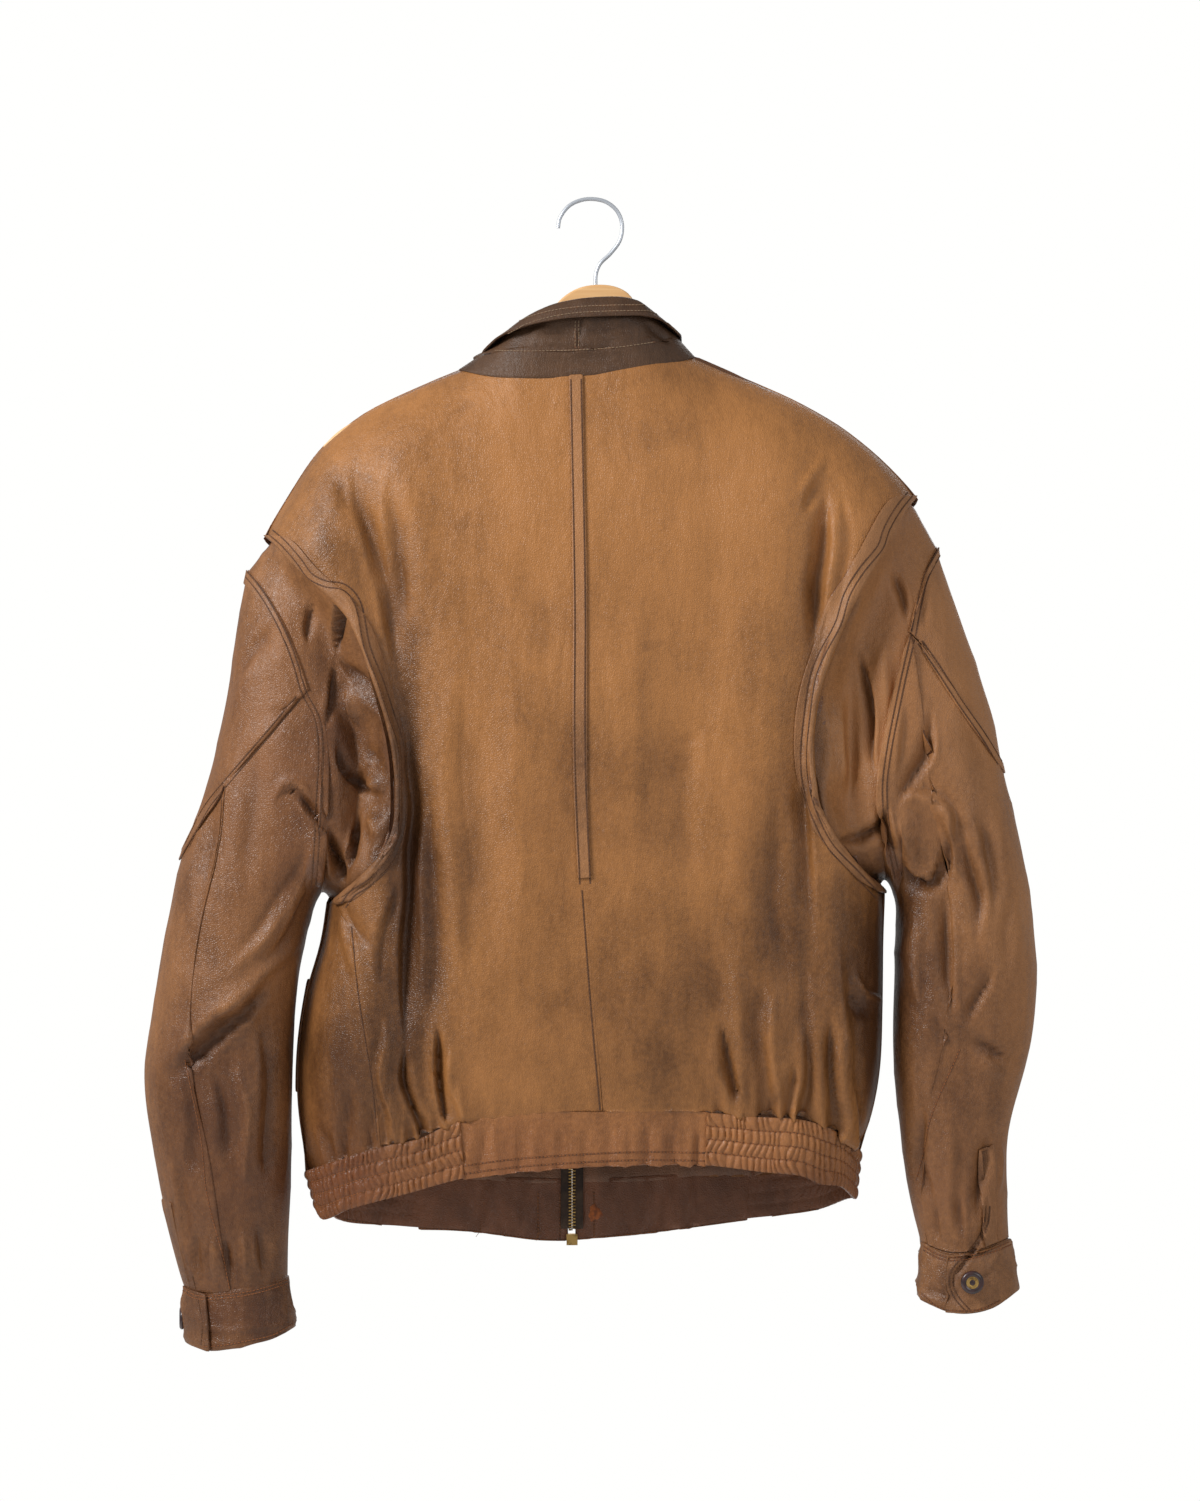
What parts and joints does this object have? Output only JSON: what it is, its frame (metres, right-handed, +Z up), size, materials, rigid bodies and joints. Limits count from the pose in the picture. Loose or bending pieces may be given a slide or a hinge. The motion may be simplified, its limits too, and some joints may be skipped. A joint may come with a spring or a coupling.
{
  "type": "leather jacket on a wooden hanger",
  "caption": "Short leather blouson with set-in action sleeves, zip front, stand collar and gathered waistband, hung on a wooden hanger.",
  "frame": {"origin": "underside of the hook's crown, where a rail carries the hanger", "axes": "+Z up, +X to the right as the back is seen, the jacket's back faces -Y and its zip faces +Y"},
  "size_m": [0.7193, 0.14, 0.9233],
  "materials": {
    "body_leather": "worn, matt",
    "sleeve_leather": "worn, slight sheen",
    "collar_leather": "worn, matt",
    "band_leather": "worn, matt",
    "strip_leather": "worn, matt",
    "hanger_wood": "clear varnish",
    "hook_wire": "polished",
    "zip_brass": "dulled",
    "zip_tape": "woven",
    "button": "polished"
  },
  "bodies": {
    "jacket": {"back_left": "body_leather", "back_right": "body_leather", "front_right": "body_leather", "front_left": "body_leather", "side_left": "body_leather", "back_strip": "strip_leather", "armhole_strip_left": "strip_leather", "armhole_strip_right": "strip_leather", "sleeve_gusset_left": "sleeve_leather", "sleeve_cap_left": "sleeve_leather", "sleeve_upper_left": "sleeve_leather", "sleeve_under_left": "sleeve_leather", "ridge_strip_left": "strip_leather", "diagonal_strip_left": "strip_leather", "cuff_left": "sleeve_leather", "cuff_tab_left": "strip_leather", "cuff_button_left": "button", "placket_left": "strip_leather", "sleeve_gusset_right": "sleeve_leather", "sleeve_cap_right": "sleeve_leather", "sleeve_upper_right": "sleeve_leather", "sleeve_under_right": "sleeve_leather", "ridge_strip_right": "strip_leather", "diagonal_strip_right": "strip_leather", "cuff_right": "sleeve_leather", "cuff_tab_right": "strip_leather", "cuff_button_right": "button", "placket_right": "strip_leather", "pocket_welt_left": "strip_leather", "pocket_welt_right": "strip_leather", "collar_stand": "collar_leather", "collar_under": "collar_leather", "collar_leaf": "collar_leather", "hem_elastic_left": "band_leather", "hem_elastic_right": "band_leather", "hem_back": "band_leather", "hem_front_left": "band_leather", "hem_front_right": "band_leather", "zip_left": "zip_tape", "zip_right": "zip_tape", "zip_slider": "zip_brass", "zip_lug": "zip_brass", "zip_box": "zip_brass", "hanger_hook": "hook_wire", "hanger_wood": "hanger_wood"},
    "pull_tab": {"zip_pull_tab": "zip_brass"}
  },
  "joints": [
    {"name": "pull_tab_swing", "type": "hinge", "parent": "jacket", "child": "pull_tab", "pos_m": [-0.0164, 0.05296, -0.2226], "axis": [1, 0, 0], "range_deg": [0, 110]}
  ]
}
